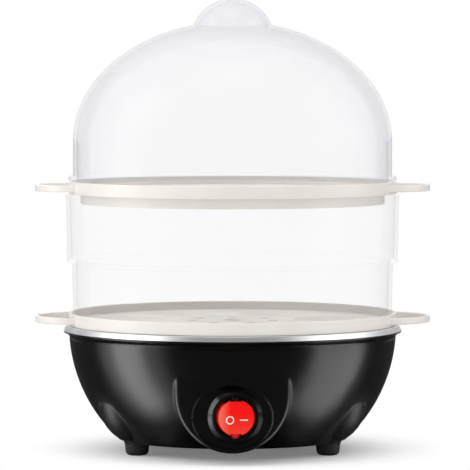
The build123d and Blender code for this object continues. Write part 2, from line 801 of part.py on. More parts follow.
finish(rocker, "rocker")

# Plunger and spring in the rocker's stem
with BuildPart() as rocker_plunger:
    with BuildSketch(rocker_face_plane.offset(-plunger_reach)):
        Circle(plunger_radius)
    extrude(amount=plunger_length)
    plunger_tip = edges().filter_by(GeomType.CIRCLE).sort_by(Axis.Y)[-1]
    fillet(plunger_tip, plunger_tip_round)
finish(rocker_plunger, "rocker_plunger")

with BuildPart() as plunger_spring:
    spring_length = plunger_reach - plunger_length - 2 * spring_wire
    spring_axis = rocker_face_plane.z_dir * -1
    spring_start = rocker_face_plane.origin + spring_axis * spring_wire
    spring_path = Helix(
        spring_length / spring_turns,
        spring_length,
        spring_radius,
        center=spring_start,
        direction=spring_axis,
    )
    with BuildSketch(Plane(origin=spring_path @ 0, z_dir=spring_path % 0)):
        Circle(spring_wire / 2)
    sweep(path=spring_path)
finish(plunger_spring, "plunger_spring")

# See-saw contact that the plunger rocks, with a bead along its hinge that rolls on the middle terminal
lean = radians(bridge_tilt)
with BuildPart() as contact_bridge:
    bridge_plane = Plane(
        origin=(switch_x, bridge_y, switch_height),
        x_dir=(cos(lean), -sin(lean), 0),
        z_dir=(0, 0, 1),
    )
    with BuildSketch(bridge_plane.offset(-bridge_width / 2)):
        Circle(bridge_bead_radius)
        Rectangle(bridge_length, 2 * bridge_bead_radius, align=(Align.CENTER, Align.MAX), mode=Mode.SUBTRACT)
        Rectangle(bridge_length, bridge_sheet)
    extrude(amount=bridge_width)
finish(contact_bridge, "contact_bridge")

# Three flat terminals: fixed contact on the left, rest of the see-saw in the middle, lamp on the right
bridge_back = bridge_sheet / 2 / cos(lean)
contact_front = bridge_y + bridge_back + terminal_pitch * sin(lean) + contact_gap
rest_front = bridge_y + bridge_bead_radius + running_gap
lamp_front = barrel_end - pocket_floor - barrel_back - lamp_terminal_rise
terminal_end = barrel_end - pocket_floor + terminal_tail
with BuildPart() as switch_terminals:
    fronts = (contact_front + bridge_sheet, rest_front, lamp_front)
    for index, front in enumerate(fronts):
        x = switch_x + (index - 1) * terminal_pitch
        with Locations((x, (front + terminal_end) / 2, switch_height)):
            Box(terminal_sheet, terminal_end - front, terminal_width)
    with BuildSketch(Plane(origin=(switch_x - terminal_pitch, contact_front, switch_height), z_dir=(0, 1, 0))):
        Circle(pad_radius)
    extrude(amount=bridge_sheet)
finish(switch_terminals, "switch_terminals")

# Neon lamp behind the rocker, standing on two stiff legs
with BuildPart() as neon_lamp:
    lamp_y = pivot_y + lamp_setback
    lamp_z = switch_height + barrel_bore - lamp_inset
    with BuildSketch(Plane.YZ.offset(switch_x - lamp_length / 2)):
        with Locations((lamp_y, lamp_z)):
            Circle(lamp_radius)
    extrude(amount=lamp_length)
    fillet(edges().filter_by(GeomType.CIRCLE), lamp_end_round)
    leg_reach = barrel_end - pocket_floor - barrel_back - lamp_y
    with BuildSketch(Plane.XZ.offset(-lamp_y)):
        with Locations((switch_x, lamp_z)):
            with GridLocations(lamp_leg_pitch, 0, 2, 1):
                Circle(lamp_leg_radius)
    extrude(amount=-leg_reach)
finish(neon_lamp, "neon_lamp")


def tray_ears(level):
    """The two loops a tray is lifted by, cut off inside its rim."""
    with BuildPart() as ears:
        with BuildSketch(Plane.XY.offset(level + ear_bottom)):
            with Locations((ear_centre, 0), (-ear_centre, 0)):
                Circle(ear_radius)
                Circle(ear_radius - ear_strip, mode=Mode.SUBTRACT)
        extrude(amount=ear_height)
        fillet(edges().filter_by(GeomType.CIRCLE), ear_edge_round)
        with BuildSketch(Plane.XY.offset(level)):
            Circle(tray_radius - tray_wall / 2)
        extrude(amount=tray_rim_height, mode=Mode.SUBTRACT)
    return ears


def egg_tray(level):
    """Moulded tray: floor with dished egg seats, rim, skirt below and a loop ear each side."""
    ears = tray_ears(level)
    with BuildPart() as tray:
        with BuildSketch(Plane.XZ):
            with BuildLine():
                Polyline(
                    (0, level),
                    (skirt_radius - skirt_wall, level),
                    (skirt_radius - skirt_wall, level - skirt_depth),
                    (skirt_radius, level - skirt_depth),
                    (skirt_radius, level),
                    (tray_radius, level),
                    (tray_radius, level + tray_rim_height),
                    (tray_radius - tray_wall, level + tray_rim_height),
                    (tray_radius - tray_wall, level + tray_floor),
                    (0, level + tray_floor),
                    close=True,
                )
            make_face()
            rim_corners = vertices().group_by(Axis.Y)[-1]
            fillet(rim_corners, tray_rim_round)
        revolve(axis=Axis.Z)
        # Dished seats, then the cones and holes through them
        seat_bottom = level + tray_floor - seat_depth
        slope = atan2(seat_top_radius - seat_hole_radius, seat_depth)
        with BuildSketch(Plane.XY.offset(level)):
            with PolarLocations(seat_circle, seat_count, start_angle=-90):
                top_reach = seat_top_radius - tray_floor * (seat_top_radius - seat_hole_radius) / seat_depth
                Circle(top_reach + seat_sheet)
        extrude(amount=seat_bottom - level, taper=degrees(slope))
        with BuildSketch(Plane.XY.offset(level + tray_floor)):
            with PolarLocations(seat_circle, seat_count, start_angle=-90):
                Circle(seat_top_radius)
        extrude(amount=-seat_depth, taper=degrees(slope), mode=Mode.SUBTRACT)
        with BuildSketch(Plane.XY.offset(level)):
            with PolarLocations(steam_circle, seat_count, start_angle=90):
                Circle(steam_hole_radius)
            Circle(steam_centre_radius)
        extrude(amount=tray_floor, mode=Mode.SUBTRACT)
        add(ears.part)
    return tray


finish(egg_tray(lower_tray_level), "lower_egg_tray")
finish(egg_tray(upper_tray_level), "upper_egg_tray")

# Clear ring between the trays, stepped in at half height so that it drops into the lower rim
with BuildPart() as middle_ring:
    with BuildSketch(Plane.XZ):
        with BuildLine():
            step = ring_level + ring_step_height
            top = ring_level + ring_height
            Polyline(
                (ring_foot_radius, ring_level),
                (ring_neck_radius, step - ring_step_rise),
                (ring_step_radius, step),
                (ring_top_radius, top),
                (ring_top_radius - ring_wall, top),
                (ring_step_radius - ring_wall, step + ring_wall),
                (ring_neck_radius - ring_wall, step - ring_step_rise + ring_wall),
                (ring_foot_radius - ring_wall, ring_level),
                close=True,
            )
        make_face()
        fillet(vertices().group_by(Axis.Y)[-1], ring_edge_round)
        fillet(vertices().group_by(Axis.Y)[0], ring_edge_round)
    revolve(axis=Axis.Z)
finish(middle_ring, "middle_ring")


def lid_body(inset):
    """Outline solid of the lid, moved in by inset: straight wall, dome and round knob."""
    with BuildPart() as body:
        with BuildSketch(Plane.XZ):
            with BuildLine():
                foot = lid_level - lid_spigot - inset
                Polyline(
                    (0, dome_level + dome_height - inset),
                    (0, foot),
                    (lid_radius - inset, foot),
                    (lid_radius - inset, dome_level),
                )
                EllipticalCenterArc((0, dome_level), lid_radius - inset, dome_height - inset, 0, arc_size=90)
            make_face()
        revolve(axis=Axis.Z)
        with Locations((0, 0, dome_level + knob_centre)):
            Sphere(knob_radius - inset)
    return body


# Clear lid with its hollow knob and the steam vent at its top
lid_inside = lid_body(lid_wall)
with BuildPart() as lid:
    add(lid_body(0).part)
    neck_edge = edges().filter_by(lambda edge: edge.is_closed).sort_by(Axis.Z)[-1]
    fillet(neck_edge, knob_neck_round)
    with BuildSketch(Plane.XY.offset(lid_level)):
        Circle(tray_radius)
    extrude(amount=lid_flange)
    add(lid_inside.part, mode=Mode.SUBTRACT)
    with BuildSketch(Plane.XY.offset(dome_level + knob_centre)):
        Circle(vent_radius)
    extrude(amount=2 * knob_radius, mode=Mode.SUBTRACT)
    flange_middle = (lid_radius + tray_radius) / 2
    flange_rims = edges().filter_by(GeomType.CIRCLE).filter_by(lambda edge: edge.radius > flange_middle)
    fillet(flange_rims, lid_flange_round)
finish(lid, "lid")
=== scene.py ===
import math

import bmesh
import bpy
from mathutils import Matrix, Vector


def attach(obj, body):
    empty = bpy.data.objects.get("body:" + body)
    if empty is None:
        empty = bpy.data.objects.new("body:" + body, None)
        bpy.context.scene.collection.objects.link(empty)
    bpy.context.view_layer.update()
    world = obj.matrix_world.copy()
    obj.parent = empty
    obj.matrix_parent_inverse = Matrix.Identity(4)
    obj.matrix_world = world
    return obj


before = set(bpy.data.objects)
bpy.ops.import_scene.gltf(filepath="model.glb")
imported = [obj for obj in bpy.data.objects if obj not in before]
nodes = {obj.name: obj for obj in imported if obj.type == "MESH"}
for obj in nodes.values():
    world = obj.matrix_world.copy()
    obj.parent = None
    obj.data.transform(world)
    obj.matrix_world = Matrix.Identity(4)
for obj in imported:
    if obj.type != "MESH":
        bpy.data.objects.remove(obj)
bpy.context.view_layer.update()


# Shader maths: a Wire is one socket's value, and arithmetic on it adds Math nodes
class Wire:
    def __init__(self, finish, socket):
        self.finish = finish
        self.socket = socket

    def maths(self, operation, *values):
        inputs = dict(enumerate(values))
        return self.finish.make("Math", {"operation": operation}, inputs)

    def __add__(self, other):
        return self.maths("ADD", self, other)

    def __radd__(self, other):
        return self.maths("ADD", other, self)

    def __sub__(self, other):
        return self.maths("SUBTRACT", self, other)

    def __rsub__(self, other):
        return self.maths("SUBTRACT", other, self)

    def __mul__(self, other):
        return self.maths("MULTIPLY", self, other)

    def __rmul__(self, other):
        return self.maths("MULTIPLY", other, self)

    def __pow__(self, other):
        return self.maths("POWER", self, other)

    def __abs__(self):
        return self.maths("ABSOLUTE", self)

    def larger(self, other):
        return self.maths("MAXIMUM", self, other)

    def band(self, low, high):  # 0 below low, 1 above high, eased between them
        settings = {"interpolation_type": "SMOOTHSTEP"}
        return self.finish.make("MapRange", settings, {"Value": self, "From Min": low, "From Max": high})


# The nodes of one material, or of the world where holder is given
class Finish:
    def __init__(self, name, holder=None):
        self.material = holder or bpy.data.materials.new(name)
        self.material.use_nodes = True
        self.tree = self.material.node_tree
        self.tree.nodes.clear()

    # Any node: its type, its settings, then the values or links of its sockets
    def make(self, kind, settings=None, inputs=None, output=0):
        node = self.tree.nodes.new("ShaderNode" + kind)
        for key, value in (settings or {}).items():
            setattr(node, key, value)
        for key, value in (inputs or {}).items():
            self.join(value, node.inputs[key])
        return Wire(self, node.outputs[output]) if len(node.outputs) else None

    def join(self, value, socket):
        if isinstance(value, Wire):
            self.tree.links.new(value.socket, socket)
        else:
            socket.default_value = value

    # One of the three numbers of a vector
    def part(self, vector, axis):
        return self.make("SeparateXYZ", None, {0: vector}, output=axis)

    # 1 on rays of the named kind
    def rays(self, kind):
        return self.make("LightPath", output="Is " + kind + " Ray")

    # 0 where the surface faces the eye, 1 at its rim
    def facing(self, blend=0.5):
        return self.make("LayerWeight", None, {"Blend": blend}, output="Facing")

    # Object coordinates, stretched by a Mapping node
    def coords(self, scale=(1.0, 1.0, 1.0)):
        place = self.make("TexCoord", output="Object")
        return self.make("Mapping", None, {"Vector": place, "Scale": scale})

    # X, Y and Z of a point on the piece, measured from a middle
    def placeFrom(self, middle):
        return [self.part(self.coords(), axis) - start for axis, start in zip("XYZ", middle)]

    def noise(self, scale, detail=3.0, roughness=0.5, stretch=(1.0, 1.0, 1.0)):
        inputs = {"Vector": self.coords(stretch), "Scale": scale, "Detail": detail, "Roughness": roughness}
        return self.make("TexNoise", None, inputs)

    def mixColour(self, factor, first, second):
        settings = {"data_type": "RGBA", "blend_type": "MIX"}
        return self.make("Mix", settings, {0: factor, 6: colour(first), 7: colour(second)}, output=2)

    def bump(self, height, strength, distance):
        return self.make("Bump", None, {"Height": height, "Strength": strength, "Distance": distance})

    def mixShader(self, factor, first, second):
        return self.make("MixShader", None, {0: factor, 1: first, 2: second})

    def surface(self, **inputs):
        shader = self.make("BsdfPrincipled", None, {sockets[key]: value for key, value in inputs.items()})
        self.finishWith(shader)
        return self.material

    def finishWith(self, shader):
        self.make("OutputMaterial", None, {"Surface": shader})


def colour(value):
    return value if isinstance(value, Wire) else (*value, 1.0)


sockets = {
    "baseColor": "Base Color", "metallic": "Metallic", "roughness": "Roughness", "ior": "IOR",
    "alpha": "Alpha", "normal": "Normal", "specular": "Specular IOR Level",
    "subsurface": "Subsurface Weight", "subsurfaceRadius": "Subsurface Radius",
    "subsurfaceScale": "Subsurface Scale", "coat": "Coat Weight", "coatRoughness": "Coat Roughness",
    "coatIor": "Coat IOR", "emission": "Emission Color", "emissionStrength": "Emission Strength",
}
white = (1.0, 1.0, 1.0, 1.0)


# Grain of a spun sheet: noise that is long round the axis and fine across it
def turnedGrain(finish, fineness, aroundScale):
    place = finish.coords()
    x, y, z = (finish.part(place, axis) for axis in "XYZ")
    reach = (x * x + y * y) ** 0.5
    turn = finish.make("Math", {"operation": "ARCTAN2"}, {0: y, 1: x})
    around = {0: reach * fineness, 1: turn * aroundScale, 2: z * fineness}
    vector = finish.make("CombineXYZ", None, around)
    return finish.make("TexNoise", None, {"Vector": vector, "Scale": 1.0, "Detail": 2.0, "Roughness": 0.6})


# Housing plastic: near black, satin, with a faint moulded texture, uneven sheen and duller legs
housingLook = {
    "base": (0.0012, 0.0012, 0.0013), "wornBase": (0.004, 0.004, 0.0042), "gloss": 0.6,
    "roughness": 0.21, "roughnessSpread": 0.05, "cloudScale": 34.0,
    "textureScale": 2600.0, "textureStrength": 0.25, "textureDepth": 0.00002,
    "scuffScale": 420.0, "scuffStretch": (1.0, 1.0, 0.12), "scuffFrom": 0.62, "scuffTo": 0.78,
    "scuffShare": 0.5, "scuffRoughness": 0.03,
    "edgeRound": 0.002, "edgeSamples": 8,
    "legX": 0.0545, "legY": 0.0315, "legNear": 0.009, "legFar": 0.022,
    "legTop": 0.03, "legEnd": 0.042, "legRoughness": 0.4,
}


def makeHousingBlack():
    look = housingLook
    finish = Finish("housingBlack")
    clouds = finish.noise(look["cloudScale"], detail=4.0)
    fine = finish.noise(look["textureScale"], detail=2.0)
    scuffs = finish.noise(look["scuffScale"], detail=5.0, roughness=0.7, stretch=look["scuffStretch"])
    scuffs = scuffs.band(look["scuffFrom"], look["scuffTo"])
    base = finish.mixColour(scuffs * look["scuffShare"], look["base"], look["wornBase"])
    x, y, z = (finish.part(finish.coords(), axis) for axis in "XYZ")
    aside = abs(x) - look["legX"]
    along = abs(y) - look["legY"]
    leg = (aside * aside + along * along) ** 0.5  # distance from the nearest leg's middle
    legs = (1 - leg.band(look["legNear"], look["legFar"])) * (1 - z.band(look["legTop"], look["legEnd"]))
    rough = look["roughness"] + (clouds - 0.5) * look["roughnessSpread"] + scuffs * look["scuffRoughness"]
    rough = rough + legs * look["legRoughness"]
    soft = finish.make("Bevel", {"samples": look["edgeSamples"]}, {"Radius": look["edgeRound"]})
    grain = finish.make("Bump", None, {
        "Height": fine, "Strength": look["textureStrength"], "Distance": look["textureDepth"], "Normal": soft,
    })
    return finish.surface(baseColor=base, roughness=rough, specular=look["gloss"], normal=grain)


# Switch frame and bush: smoother black than the housing, with a painted sheen: a glossy coat laid on the
# bezel's upper left only, which puts a highlight there
switchLook = {
    "base": (0.002, 0.002, 0.0024), "wornBase": (0.005, 0.005, 0.0056), "gloss": 0.3,
    "roughness": 0.15, "roughnessSpread": 0.06, "cloudScale": 160.0,
    "textureScale": 3200.0, "textureStrength": 0.15, "textureDepth": 0.00001,
    "middle": (0.0014, 0.0, 0.0249), "leftward": 0.85, "upward": 0.35, "paintedSheenFrom": 0.003,
    "paintedSheenTo": 0.011, "dullBelow": -0.009, "fullAbove": -0.002, "sheenCoatRoughness": 0.1, "sheenCoatIor": 2.0,
}


def makeSwitchBlack():
    look = switchLook
    finish = Finish("switchBlack")
    fine = finish.noise(look["textureScale"])
    clouds = finish.noise(look["cloudScale"])
    x, y, z = finish.placeFrom(look["middle"])
    # Painted sheen: the coat is strongest on the bezel's upper left, so that a highlight shows there and none
    # on its right
    paintedSheen = (z * look["upward"] - x * look["leftward"]).band(look["paintedSheenFrom"], look["paintedSheenTo"])
    paintedSheen = paintedSheen * z.band(look["dullBelow"], look["fullAbove"])
    return finish.surface(
        baseColor=finish.mixColour(clouds, look["base"], look["wornBase"]),
        roughness=look["roughness"] + clouds * look["roughnessSpread"], specular=look["gloss"],
        coat=paintedSheen, coatRoughness=look["sheenCoatRoughness"], coatIor=look["sheenCoatIor"],
        normal=finish.bump(fine, look["textureStrength"], look["textureDepth"]),
    )


# Underside cover: coarser, matt black with dust
coverLook = {
    "base": (0.010, 0.010, 0.011), "dustBase": (0.024, 0.023, 0.022), "roughness": 0.55,
    "dustRoughness": 0.15, "dustScale": 45.0, "dustFrom": 0.52, "dustTo": 0.8,
    "gritScale": 1500.0, "gritStrength": 0.5, "gritDepth": 0.00005,
}


def makeCoverBlack():
    look = coverLook
    finish = Finish("coverBlack")
    grit = finish.noise(look["gritScale"], detail=4.0, roughness=0.65)
    dust = finish.noise(look["dustScale"], detail=4.0).band(look["dustFrom"], look["dustTo"])
    return finish.surface(
        baseColor=finish.mixColour(dust, look["base"], look["dustBase"]),
        roughness=look["roughness"] + dust * look["dustRoughness"],
        normal=finish.bump(grit, look["gritStrength"], look["gritDepth"]),
    )


# Pan: bright stainless sheet with a fine turned grain and faint stains
panLook = {
    "base": (0.76, 0.76, 0.77), "dullBase": (0.66, 0.66, 0.66), "roughness": 0.33,
    "grain": 2200.0, "grainAround": 6.0, "grainRoughness": 0.12, "grainStrength": 0.2, "grainDepth": 0.00001,
    "stainScale": 52.0, "stainFrom": 0.5, "stainTo": 0.78, "stainShare": 0.6, "stainRoughness": 0.08,
}


def makePanSteel():
    look = panLook
    finish = Finish("panSteel")
    grain = turnedGrain(finish, look["grain"], look["grainAround"])
    stains = finish.noise(look["stainScale"], detail=5.0, roughness=0.6)
    stains = stains.band(look["stainFrom"], look["stainTo"])
    return finish.surface(
        baseColor=finish.mixColour(stains * look["stainShare"], look["base"], look["dullBase"]),
        metallic=1.0,
        roughness=look["roughness"] + grain * look["grainRoughness"] + stains * look["stainRoughness"],
        normal=finish.bump(grain, look["grainStrength"], look["grainDepth"]),
    )


# Trays: warm white moulded plastic that lets a little light in
trayLook = {
    "base": (0.865, 0.83, 0.785), "shade": (0.81, 0.77, 0.72), "roughness": 0.34, "roughnessSpread": 0.08,
    "cloudScale": 60.0, "cloudFrom": 0.35, "cloudTo": 0.75, "cloudShare": 0.5,
    "speckScale": 900.0, "speckFrom": 0.74, "speckTo": 0.8, "speckShare": 0.25,
    "textureScale": 1900.0, "textureStrength": 0.2, "textureDepth": 0.00003,
    "glow": 0.12, "glowRadius": (0.004, 0.003, 0.002), "glowScale": 0.5,
}


def makeTrayWhite():
    look = trayLook
    finish = Finish("trayWhite")
    clouds = finish.noise(look["cloudScale"])
    fine = finish.noise(look["textureScale"])
    specks = finish.noise(look["speckScale"], detail=2.0).band(look["speckFrom"], look["speckTo"])
    shade = clouds.band(look["cloudFrom"], look["cloudTo"]) * look["cloudShare"] + specks * look["speckShare"]
    return finish.surface(
        baseColor=finish.mixColour(shade, look["base"], look["shade"]),
        roughness=look["roughness"] + (clouds - 0.5) * look["roughnessSpread"],
        subsurface=look["glow"], subsurfaceRadius=look["glowRadius"], subsurfaceScale=look["glowScale"],
        normal=finish.bump(fine, look["textureStrength"], look["textureDepth"]),
    )


# Clear moulded plastic: faint lilac grey, seen mostly where it turns away from the eye
clearLook = {
    "roughness": 0.06, "roughnessSpread": 0.05, "ior": 1.49, "edge": 3.0, "wallFrom": 0.56, "wallTo": 0.62,
    "cloudScale": 26.0, "waveStrength": 0.05, "waveDepth": 0.0004,
    "hazeScale": 9.0, "hazeStretch": (1.0, 1.0, 0.4), "hazeAlpha": 0.03,
}
ringLook = {
    "base": (0.95, 0.95, 0.97), "faceAlpha": 0.05, "edgeAlpha": 0.08, "wallAlpha": 0.03,
}
lidLook = {
    "base": (0.775, 0.78, 0.84), "faceAlpha": 0.066, "edgeAlpha": 0.3, "wallAlpha": 0.06,
    "knobAlpha": 0.1, "knobFrom": 0.215, "knobTo": 0.228,
}


def makeClearPlastic(name, ownLook):
    look = {**clearLook, **ownLook}
    finish = Finish(name)
    clouds = finish.noise(look["cloudScale"])
    haze = finish.noise(look["hazeScale"], detail=2.0, stretch=look["hazeStretch"])
    facing = finish.facing()
    wall = facing.band(look["wallFrom"], look["wallTo"]) * look["wallAlpha"]
    alpha = look["faceAlpha"] + (facing ** look["edge"]) * look["edgeAlpha"] + wall
    if "knobAlpha" in look:  # the knob is the densest part of the lid
        height = finish.part(finish.coords(), "Z")
        alpha = alpha + height.band(look["knobFrom"], look["knobTo"]) * look["knobAlpha"]
    alpha = alpha + (haze - 0.5) * look["hazeAlpha"]
    return finish.surface(
        baseColor=colour(look["base"]), roughness=look["roughness"] + clouds * look["roughnessSpread"],
        alpha=alpha, ior=look["ior"], normal=finish.bump(clouds, look["waveStrength"], look["waveDepth"]),
    )


# Rocker: glossy red plastic with painted light and shade: a glow on its face, paler at its left and lower
# down; painted light on its lower sides and bosses; painted shade darker on its sides, darkest at the top
rockerFace = {
    "pivot": (0.0014, -0.08, 0.0249), "tilt": math.radians(9), "front": 0.0046, "hollow": 0.0012,
    "halfWidth": 0.01055,
}
rockerLook = {
    "base": (0.70, 0.003, 0.002), "deep": (0.50, 0.001, 0.001), "deepShare": 0.4,
    # Side colours are painted shade: the sides a darker red than the face, near black at the top
    "paintedShadeSide": (0.40, 0.002, 0.002), "paintedShadeTopSide": (0.01, 0.0, 0.0),
    "roughness": 0.16, "roughnessSpread": 0.06, "sideRoughness": 0.3, "gloss": 0.3,
    "coat": 0.25, "coatRoughness": 0.08, "cloudScale": 260.0,
    "textureScale": 3400.0, "textureStrength": 0.1, "textureDepth": 0.00001,
    # Face emission colours are painted light: the red face glows though it is no lamp, paler low down as a
    # painted reflection of the floor, paler at the left as a painted highlight
    "glow": 0.37, "paintedReflectionGlow": (0.9, 0.10, 0.055), "topGlow": (0.9, 0.0, 0.0), "paintedHighlightGlow": (0.95, 0.38, 0.27),
    # The side glow below is painted light on the lower sides and bosses, with none at the top
    "paintedLightSide": (0.6, 0.004, 0.003), "noGlow": (0.0, 0.0, 0.0),
    "lowFrom": -0.0099, "topTo": 0.0036, "paintedHighlightFrom": 0.0025, "paintedHighlightTo": 0.0095,
    "sideFrom": 0.0020, "sideTo": 0.0032, "brimFrom": 0.0090, "brimTo": 0.0094,
    "shadeFrom": 0.0066, "shadeTo": 0.0078,
}


def makeRockerRed():
    look = rockerLook
    turned = (math.cos(rockerFace["tilt"]), math.sin(rockerFace["tilt"]))
    finish = Finish("rockerRed")
    clouds = finish.noise(look["cloudScale"])
    fine = finish.noise(look["textureScale"])
    x, y, z = finish.placeFrom(rockerFace["pivot"])
    out = x * turned[1] - y * turned[0]  # distance in front of the pivot
    across = x * turned[0] + y * turned[1]
    reach = (across * across + z * z) ** 0.5
    face = out.band(look["sideFrom"], look["sideTo"]) * (1 - reach.band(look["brimFrom"], look["brimTo"]))
    # Painted reflection: the face's glow turns paler towards its bottom
    top = z.band(look["lowFrom"], look["topTo"])
    shade = z.band(look["shadeFrom"], look["shadeTo"])
    # Painted highlight: the face's glow turns paler towards its left edge
    paintedHighlight = (0 - across).band(look["paintedHighlightFrom"], look["paintedHighlightTo"])
    glow = finish.mixColour(paintedHighlight, finish.mixColour(top, look["paintedReflectionGlow"], look["topGlow"]), look["paintedHighlightGlow"])
    # Painted light and shade on the sides and bosses: the lower ones glow, the top ones get a near-black base
    # and no glow
    paintedLightSide = finish.mixColour(shade, look["paintedLightSide"], look["noGlow"])
    side = finish.mixColour(shade, look["paintedShadeSide"], look["paintedShadeTopSide"])
    front = finish.mixColour(clouds * look["deepShare"], look["base"], look["deep"])
    rough = look["roughness"] + clouds * look["roughnessSpread"] + (1 - face) * look["sideRoughness"]
    return finish.surface(
        baseColor=finish.mixColour(face, side, front), roughness=rough, specular=look["gloss"],
        emission=finish.mixColour(face, paintedLightSide, glow), emissionStrength=look["glow"],
        coat=look["coat"], coatRoughness=look["coatRoughness"],
        normal=finish.bump(fine, look["textureStrength"], look["textureDepth"]),
    )


# Metals and small inner parts: a metal or plastic with its grain, its spots and its uneven sheen
smallLooks = {
    "zincSteel": {
        "base": (0.56, 0.57, 0.58), "spot": (0.40, 0.41, 0.43), "metallic": 1.0, "roughness": 0.32,
        "scale": 380.0, "bump": 0.00004,
    },
    "turnedAluminium": {
        "base": (0.72, 0.72, 0.73), "spot": (0.60, 0.60, 0.61), "metallic": 1.0, "roughness": 0.36,
        "scale": 240.0, "bump": 0.00004,
    },
    "brassStrip": {
        "base": (0.72, 0.53, 0.24), "spot": (0.50, 0.34, 0.14), "metallic": 1.0, "roughness": 0.28,
        "scale": 320.0, "bump": 0.00003,
    },
    "phenolicBlack": {
        "base": (0.018, 0.015, 0.013), "spot": (0.035, 0.030, 0.026), "metallic": 0.0, "roughness": 0.5,
        "scale": 520.0, "bump": 0.00006,
    },
    "blockCeramic": {
        "base": (0.80, 0.77, 0.71), "spot": (0.66, 0.62, 0.55), "metallic": 0.0, "roughness": 0.55,
        "scale": 300.0, "bump": 0.00008,
    },
    "nylonWhite": {
        "base": (0.80, 0.79, 0.74), "spot": (0.72, 0.70, 0.64), "metallic": 0.0, "roughness": 0.42,
        "scale": 420.0, "bump": 0.00003,
    },
    "gasketGrey": {
        "base": (0.42, 0.42, 0.42), "spot": (0.34, 0.34, 0.34), "metallic": 0.0, "roughness": 0.62,
        "scale": 600.0, "bump": 0.00006,
    },
    "footRubber": {
        "base": (0.013, 0.013, 0.013), "spot": (0.032, 0.031, 0.030), "metallic": 0.0, "roughness": 0.7,
        "scale": 900.0, "bump": 0.00008,
    },
    "markWhite": {
        "base": (0.90, 0.88, 0.84), "spot": (0.82, 0.76, 0.72), "metallic": 0.0, "roughness": 0.38,
        "scale": 1800.0, "bump": 0.00001,
    },
}
spotLook = {"from": 0.42, "to": 0.72, "roughness": 0.12, "strength": 0.4}


def makeSmall(name):
    look = smallLooks[name]
    finish = Finish(name)
    spots = finish.noise(look["scale"], detail=4.0, roughness=0.6)
    mask = spots.band(spotLook["from"], spotLook["to"])
    return finish.surface(
        baseColor=finish.mixColour(mask, look["base"], look["spot"]), metallic=look["metallic"],
        roughness=look["roughness"] + mask * spotLook["roughness"],
        normal=finish.bump(spots, spotLook["strength"], look["bump"]),
    )


# Lamp: thin glass with a warm tint
lampLook = {
    "base": (0.95, 0.62, 0.45), "roughness": 0.04, "roughnessSpread": 0.04, "cloudScale": 700.0,
    "faceAlpha": 0.25, "edgeAlpha": 0.6, "edgeBlend": 0.4, "ior": 1.5,
}


def makeLampGlass():
    look = lampLook
    finish = Finish("lampGlass")
    clouds = finish.noise(look["cloudScale"])
    facing = finish.facing(look["edgeBlend"])
    return finish.surface(
        baseColor=colour(look["base"]), roughness=look["roughness"] + clouds * look["roughnessSpread"],
        alpha=look["faceAlpha"] + facing * look["edgeAlpha"], ior=look["ior"],
    )


finishes = {name: makeSmall(name) for name in smallLooks}
finishes["housingBlack"] = makeHousingBlack()
finishes["switchBlack"] = makeSwitchBlack()
finishes["coverBlack"] = makeCoverBlack()
finishes["panSteel"] = makePanSteel()
finishes["trayWhite"] = makeTrayWhite()
finishes["ringPlastic"] = makeClearPlastic("ringPlastic", ringLook)
finishes["lidPlastic"] = makeClearPlastic("lidPlastic", lidLook)
finishes["rockerRed"] = makeRockerRed()
finishes["lampGlass"] = makeLampGlass()

wearers = {
    "housingBlack": ["base_housing"],
    "switchBlack": ["switch_frame", "cord_bush"],
    "coverBlack": ["bottom_cover"],
    "footRubber": ["foot_front_left", "foot_front_right", "foot_rear_left", "foot_rear_right"],
    "panSteel": ["heating_pan"],
    "gasketGrey": ["pan_gasket"],
    "zincSteel": [
        "cover_screws", "pan_studs", "pan_nuts", "thermostat_bracket", "bracket_screws", "fuse_clip",
        "plunger_spring", "heating_element",
    ],
    "turnedAluminium": ["heat_spreader", "thermostat_cup", "thermal_fuse"],
    "phenolicBlack": ["thermostat_body"],
    "blockCeramic": ["terminal_block"],
    "brassStrip": ["switch_terminals", "contact_bridge"],
    "lampGlass": ["neon_lamp"],
    "rockerRed": ["rocker"],
    "nylonWhite": ["rocker_plunger"],
    "trayWhite": ["lower_egg_tray", "upper_egg_tray"],
    "ringPlastic": ["middle_ring"],
    "lidPlastic": ["lid"],
}


def dress(thing, finishName):
    thing.data.materials.clear()
    thing.data.materials.append(finishes[finishName])


for finishName, names in wearers.items():
    for name in names:
        dress(nodes[name], finishName)
print("finishes on", sum(len(names) for names in wearers.values()), "nodes")


def newPiece(name, mesh, finishName, body):
    data = bpy.data.meshes.new(name)
    mesh.to_mesh(data)
    mesh.free()
    for face in data.polygons:
        face.use_smooth = True
    thing = bpy.data.objects.new(name, data)
    bpy.context.scene.collection.objects.link(thing)
    dress(thing, finishName)
    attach(thing, body)


# Circle and dash on the rocker, printed on its hollow face
markLook = {
    "ringRadius": 0.00186, "stroke": 0.00066, "ringAt": -0.0033, "ringSteps": 64,
    "dashAt": 0.00395, "dashLength": 0.0041, "dashRound": 0.00016, "dashSegments": 4,
    "height": -0.0012, "thickness": 0.00014, "sunk": 0.0001, "weld": 1e-7, "upright": 1e-6,
}


# Moves a flat mark, drawn in u and v with its thickness in w, onto the hollow face
def layOnRocker(mesh):
    face = rockerFace
    curve = (face["halfWidth"] ** 2 + face["hollow"] ** 2) / (2 * face["hollow"])
    low = face["front"] - face["hollow"]
    across = Vector((math.cos(face["tilt"]), math.sin(face["tilt"]), 0))
    outward = Vector((math.sin(face["tilt"]), -math.cos(face["tilt"]), 0))
    for vert in mesh.verts:
        u, v, w = vert.co
        depth = low + curve - math.sqrt(curve**2 - u**2) + w
        vert.co = Vector(face["pivot"]) + across * u + outward * depth + Vector((0, 0, v))


